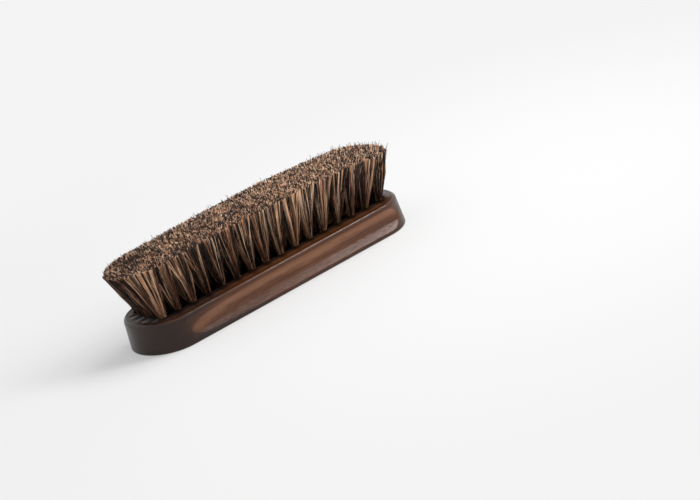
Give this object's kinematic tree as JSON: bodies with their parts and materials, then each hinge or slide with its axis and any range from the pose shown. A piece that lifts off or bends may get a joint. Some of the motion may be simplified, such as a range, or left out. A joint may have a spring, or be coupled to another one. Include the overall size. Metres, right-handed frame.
{
  "type": "horsehair bristle brush",
  "caption": "Hand brush with a rounded wooden block, a finger groove on each long side and rows of flaring horsehair tufts.",
  "frame": {"origin": "middle of the flat back, which the brush lies on", "axes": "+X along the block, +Y across it, +Z from the back towards the hair"},
  "size_m": [0.1793, 0.0514, 0.0467],
  "materials": {
    "wood": "dark walnut stain under semi-gloss lacquer",
    "hair": "natural mixed brown horsehair, trimmed",
    "anchor_wire": "bright drawn wire"
  },
  "bodies": {
    "root": {"handle_block": "wood", "tuft_row_1": "hair", "tuft_row_2": "hair", "tuft_row_3": "hair", "tuft_row_4": "hair", "tuft_row_5": "hair"}
  },
  "joints": []
}
